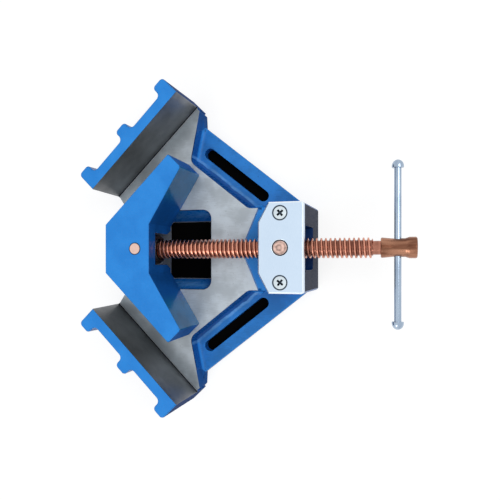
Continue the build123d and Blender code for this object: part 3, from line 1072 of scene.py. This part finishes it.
def polish_and_root_shade(tree, place, low, high):
    """How bright the nut has rubbed the thread, from the radius low to the radius high; the dull
    roots also stand for painted shade, and the copper behind the nut is a little darker.
    """
    rise = ramp(tree, axis_distance(tree, place), low, high)
    travel = split(tree, place)["X"]
    # darker copper behind the nut
    rise = maths(tree, "MULTIPLY", rise, ramp(tree, travel, 0.0, rear_darkening_to, 1.0, rear_darkening_share))
    on_neck = maths(tree, "MULTIPLY", above(tree, travel, thread_to), neck_shine)
    return maths(tree, "MAXIMUM", rise, on_neck)


def copper(name, bright, dull, rough, streaks, polished=None):
    """Blotched copper; polished gives the two radii between which a nut brightens it."""
    material, tree, shader = new_finish(name, bright, 1.0, rough[0])
    place = own_space(tree)[0]
    blotch = noise(tree, place, scale=120, detail=4, stretch=streaks)
    lines = noise(tree, place, scale=900, detail=3, stretch=streaks)
    share = ramp(tree, blotch, *narrow_span)
    if polished:
        rise = polish_and_root_shade(tree, place, *polished)
        blotched = maths(tree, "MULTIPLY", share, 1 - polish_weight)
        share = maths(tree, "MULTIPLY_ADD", rise, polish_weight, blotched)
    share = maths(tree, "MULTIPLY_ADD", lines, 0.3, maths(tree, "MULTIPLY", share, 0.85))
    join(tree, blend(tree, share, dull, bright), shader.inputs["Base Color"])
    join(tree, ramp(tree, blotch, *wide_span, *rough), shader.inputs["Roughness"])
    relief(tree, shader, lines, scratch_depth)
    return material


round_the_axis, along_the_axis = (1, 0.12, 0.12), (0.15, 1, 1)
rubbed = (root, crest - 0.3 * mm)
thread_copper = copper(
    "thread_copper", copper_crest, copper_root_dull_and_shade, (0.34, 0.2), round_the_axis, polished=rubbed
)
head_copper = copper("head_copper", copper_hands, copper_deep, (0.34, 0.22), along_the_axis)
threaded.data.materials.append(thread_copper)
soften("spindle_head", 0.5 * mm, head_copper)

# %% [markdown]
# Two small copper discs show from above: the nut's trunnion in the cover plate and the pivot
# in the jaw. Each is the polished end of a piece that is dark steel further down. One finish
# with a height at which copper ends does both, and rings round the nut's axis, as a facing
# tool leaves them, set its disc apart from the jaw's plain one. Oil and dust fill the seam at
# a disc's rim, which draws the dark circle round it.

# %% Copper discs
disc_pink = ink(238, 200, 186)
block_steel = ink(96, 74, 74)
# dark dirt for seams; the screws' crosses use it as painted shade
seam_dirt_and_shade = ink(62, 72, 84)
ring_pitch = 3.0 * mm
swirl_shift = 0.9 * mm
rim_softness = 0.25 * mm


def from_axis(tree, where, x, y=0.0):
    """Distance from an upright axis at x and at y on both sides of the clamp."""
    along = maths(tree, "SUBTRACT", where["X"], x)
    across = maths(tree, "SUBTRACT", maths(tree, "ABSOLUTE", where["Y"]), y)
    squares = maths(tree, "MULTIPLY_ADD", along, along, maths(tree, "MULTIPLY", across, across))
    return maths(tree, "SQRT", squares)


def disc_topped(name, copper_from, centre_x, clean_radius, ring_depth, dull):
    """Dark steel with a copper top, turned rings on it and dirt in the seam round it."""
    material, tree, shader = new_finish(name, disc_pink, 0.85, 0.35)
    place = own_space(tree)[0]
    where = split(tree, place)
    blotch = noise(tree, place, scale=260, detail=3)
    swirl = from_axis(tree, where, centre_x - swirl_shift)
    rings = maths(tree, "SINE", maths(tree, "MULTIPLY", swirl, 2 * pi / ring_pitch))
    share = ramp(tree, blotch, *narrow_span, 0.2, 0.8)
    share = maths(tree, "MULTIPLY_ADD", rings, 0.32, share)
    pink = blend(tree, share, darker(disc_pink, dull), disc_pink)
    radius = from_axis(tree, where, centre_x)
    dirt_and_shade_line = above(tree, radius, clean_radius, rim_softness)
    pink = blend(tree, dirt_and_shade_line, pink, seam_dirt_and_shade)
    top = above(tree, where["Z"], copper_from)
    join(tree, blend(tree, top, block_steel, pink), shader.inputs["Base Color"])
    join(tree, ramp(tree, blotch, *wide_span, 0.3, 0.44), shader.inputs["Roughness"])
    height = maths(tree, "MULTIPLY_ADD", rings, 0.5, maths(tree, "MULTIPLY", blotch, 0.3))
    relief(tree, shader, height, ring_depth)
    return material


nut_disc = disc_topped(
    "nut_disc", 75 * mm, centre_x=0.0, clean_radius=5.95 * mm, ring_depth=0.1 * mm, dull=0.4
)
jaw_pivot_disc = disc_topped(
    "jaw_pivot_disc",
    78 * mm,
    centre_x=-134.7 * mm,
    clean_radius=4.9 * mm,
    ring_depth=0.01 * mm,
    dull=0.94,
)
soften("spindle_nut", 0.3 * mm, nut_disc)
soften("swivel_block", 0.3 * mm, jaw_pivot_disc)
print("discs are copper above 75 and 78 mm")

# %% [markdown]
# The cover plate and the bar are bright zinc on ground steel. Ground steel is never even: fine
# scratches run one way and spread a mirror image along them. A noise that is stretched hard along
# one axis gives those scratches to both the colour and the roughness. The plate's eased rim gets a
# painted highlight: its colour is written brighter than the face, as if it leant towards the light
# from every side.

# %% Bright steel
# painted highlight: the bright colour of the plate's eased rim
rim_painted_highlight = ink(240, 247, 254)
zinc_relief = 0.01 * mm


def bright_steel(name, light, dark, stretch, rough=(0.2, 0.34), dirt_and_shade=None, rim_highlight=False):
    """Scratched steel with an optional share of dirt and painted shade at a place, and an optional
    painted highlight on an eased rim.
    """
    material, tree, shader = new_finish(name, light, 1.0, rough[0])
    place, facing = own_space(tree)
    scratches = noise(tree, place, scale=260, detail=4, stretch=stretch)
    haze = noise(tree, place, scale=40, detail=3)
    share = maths(tree, "MULTIPLY_ADD", scratches, 0.5, maths(tree, "MULTIPLY", haze, 0.5))
    colour = blend(tree, ramp(tree, share, *wide_span), dark, light)
    # painted highlight on the plate's eased rim
    if rim_highlight:
        slant = split(tree, facing)["Z"]
        highlit_rim = both(tree, above(tree, slant, 0.3, 0.1), below(tree, slant, 0.9, 0.05))
        colour = blend(tree, highlit_rim, colour, rim_painted_highlight)
    if dirt_and_shade:
        colour = blend(tree, dirt_and_shade(tree, split(tree, place)), colour, seam_dirt_and_shade)
    join(tree, colour, shader.inputs["Base Color"])
    smooth, scratched = rough
    roughness = ramp(tree, share, *wide_span, scratched, smooth)
    join(tree, roughness, shader.inputs["Roughness"])
    relief(tree, shader, scratches, zinc_relief)
    return material


bar_zinc = bright_steel(
    "bar_zinc", ink(184, 198, 214), ink(146, 164, 186), stretch=(1, 0.1, 1), rough=(0.14, 0.22)
)
plain_steel = bright_steel(
    "plain_steel", ink(150, 150, 152), ink(112, 112, 116), stretch=(1, 1, 6)
)
soften("tommy_bar", 0.2 * mm, bar_zinc)
soften("thrust_washer", 0.15 * mm, plain_steel)
soften("swivel_pins", 0.2 * mm, plain_steel)

# %% [markdown]
# Dirt settles wherever two pieces meet: at the rims of the plate's three holes and round the heads
# of the cover screws. Down in the screws' crosses the same dark colour is painted shade. Those
# dark lines are what separates the bright pieces for the eye. Modelled gaps would be more exact,
# but at this size they would be narrower than a pixel.

# %% Dirt in the seams, painted shade in the crosses
screw_y = 30.0 * mm
screw_top = 76.7 * mm
nut_hole_rim = 6.9 * mm
screw_hole_rim = 6.7 * mm
clean_head = 5.45 * mm
seam_softness = 0.2 * mm


def plate_seams(tree, where):
    """Dirt at the rims of the plate's three holes."""
    round_nut = below(tree, from_axis(tree, where, 0.0), nut_hole_rim, seam_softness)
    from_screw = from_axis(tree, where, 0.0, screw_y)
    round_screw = below(tree, from_screw, screw_hole_rim, seam_softness)
    return maths(tree, "MAXIMUM", round_nut, round_screw)


def screw_seams_and_cross_shade(tree, where):
    """Dirt round the rim of a screw's head, and painted shade down in its cross."""
    radius = from_axis(tree, where, 0.0, screw_y)
    # painted shade: dark colour down in the cross
    sunk = below(tree, where["Z"], screw_top - 0.12 * mm)
    cross_shade = both(tree, sunk, below(tree, radius, 4 * mm))
    return maths(tree, "MAXIMUM", above(tree, radius, clean_head, seam_softness), cross_shade)


plate_steel = bright_steel(
    "plate_zinc",
    ink(212, 228, 245),
    ink(203, 220, 238),
    stretch=(12, 1, 1),
    rough=(0.3, 0.4),
    dirt_and_shade=plate_seams,
    rim_highlight=True,
)
screw_zinc = bright_steel(
    "screw_zinc", ink(226, 236, 240), ink(206, 216, 224), stretch=(1, 1, 8), dirt_and_shade=screw_seams_and_cross_shade
)
soften("cover_plate", 0.2 * mm, plate_steel)

# %% [markdown]
# Each cover screw has a cross recess, which tapers as it goes down so that the driver seats.
# Cutting it with a boolean would work. It is simpler to keep turning: the rings of the head
# stay round as far as the recess, and then take the outline of a cross, which is a radius
# that depends on the angle. No two screws stop at the same angle, so each has its own turn.

# %% Cross recess
shank = 2.95 * mm
shank_low = 52.0 * mm
tip_ease = 0.4 * mm
head_rim = 6.1 * mm
rim_drop = 0.14 * mm
cone_top = screw_top - 0.02 * mm - (head_rim - shank)
recess_floor = screw_top - 2.8 * mm
cross_turns = {"left": radians(40), "right": radians(52)}


def cross(half_length, half_width, turn):
    """Outline of a cross as a distance from the middle in each direction."""
    def reach(angle):
        along = max(abs(cos(angle - turn)), abs(sin(angle - turn)))
        across = min(abs(cos(angle - turn)), abs(sin(angle - turn)))
        return min(half_length / along, half_width / max(across, 0.001))
    return reach


def upright(y):
    """Place points round an upright axis beside the nut."""
    return lambda z, radius, angle: (radius * cos(angle), y + radius * sin(angle), z)


def screw_rings(turn):
    """Rings of a countersunk screw from its tip to the bottom of the cross."""
    return [
        (shank_low, 0.0),
        (shank_low, shank - tip_ease),
        (shank_low + tip_ease, shank),
        (cone_top, shank),
        (screw_top - rim_drop, head_rim - 0.12 * mm),
        (screw_top - 0.06 * mm, head_rim - 0.06 * mm),
        (screw_top, head_rim - 0.2 * mm),
        (screw_top, cross(3.3 * mm, 1.0 * mm, turn)),
        (screw_top - 0.15 * mm, cross(3.15 * mm, 0.85 * mm, turn)),
        (screw_top - 2.4 * mm, cross(1.6 * mm, 0.5 * mm, turn)),
        (recess_floor, 0.0),
    ]


for side, y in (("left", screw_y), ("right", -screw_y)):
    screw = build_mesh("cross_screw_" + side, [turned(screw_rings(cross_turns[side]), upright(y))])
    screw.data.materials.append(screw_zinc)
    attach(screw, "frame")
    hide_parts("cover_screw_" + side)

# %% [markdown]
# The bar's two caps are lathe work as well: a short bore for the bar's end, a straight rim and
# a dome, which is a quarter of an ellipse turned round the bar. The plain caps have a flat end
# with a bevel. A wider bevel modifier could round them, but a drawn curve gives the dome its
# exact length, and the white studio slides off it softly, as it does on the real caps.

# %% Domed caps
bar_x = 96.5 * mm
bar_middle = 2.5 * mm
bar_half = 72.5 * mm
cap_radius = 5 * mm
cap_length = 7 * mm
cap_rim = 1.4 * mm
cap_ease = 0.3 * mm
bore_radius = 3.02 * mm
bore_depth = 2 * mm
dome_steps = 10


def along_bar(side):
    """Place points round the bar; travel runs outwards from the bar's middle."""
    def put(travel, radius, angle):
        x = bar_x + radius * cos(angle)
        return (x, bar_middle + side * travel, axis_height + radius * sin(angle))
    return put


cap_start = bar_half - cap_length
cap_rings = [
    (cap_start + bore_depth, 0.0), (cap_start + bore_depth, bore_radius),
    (cap_start, bore_radius), (cap_start, cap_radius - cap_ease),
    (cap_start + cap_ease, cap_radius),
]
for step in range(dome_steps + 1):
    angle = 0.5 * pi * step / dome_steps
    travel = cap_start + cap_rim + (cap_length - cap_rim) * sin(angle)
    cap_rings.append((travel, cap_radius * cos(angle)))
for name, side in (("left", 1), ("right", -1)):
    cap = build_mesh("domed_cap_" + name, [turned(cap_rings, along_bar(side))])
    cap.data.materials.append(bar_zinc)
    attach(cap, "bar")
    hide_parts("bar_cap_" + name)
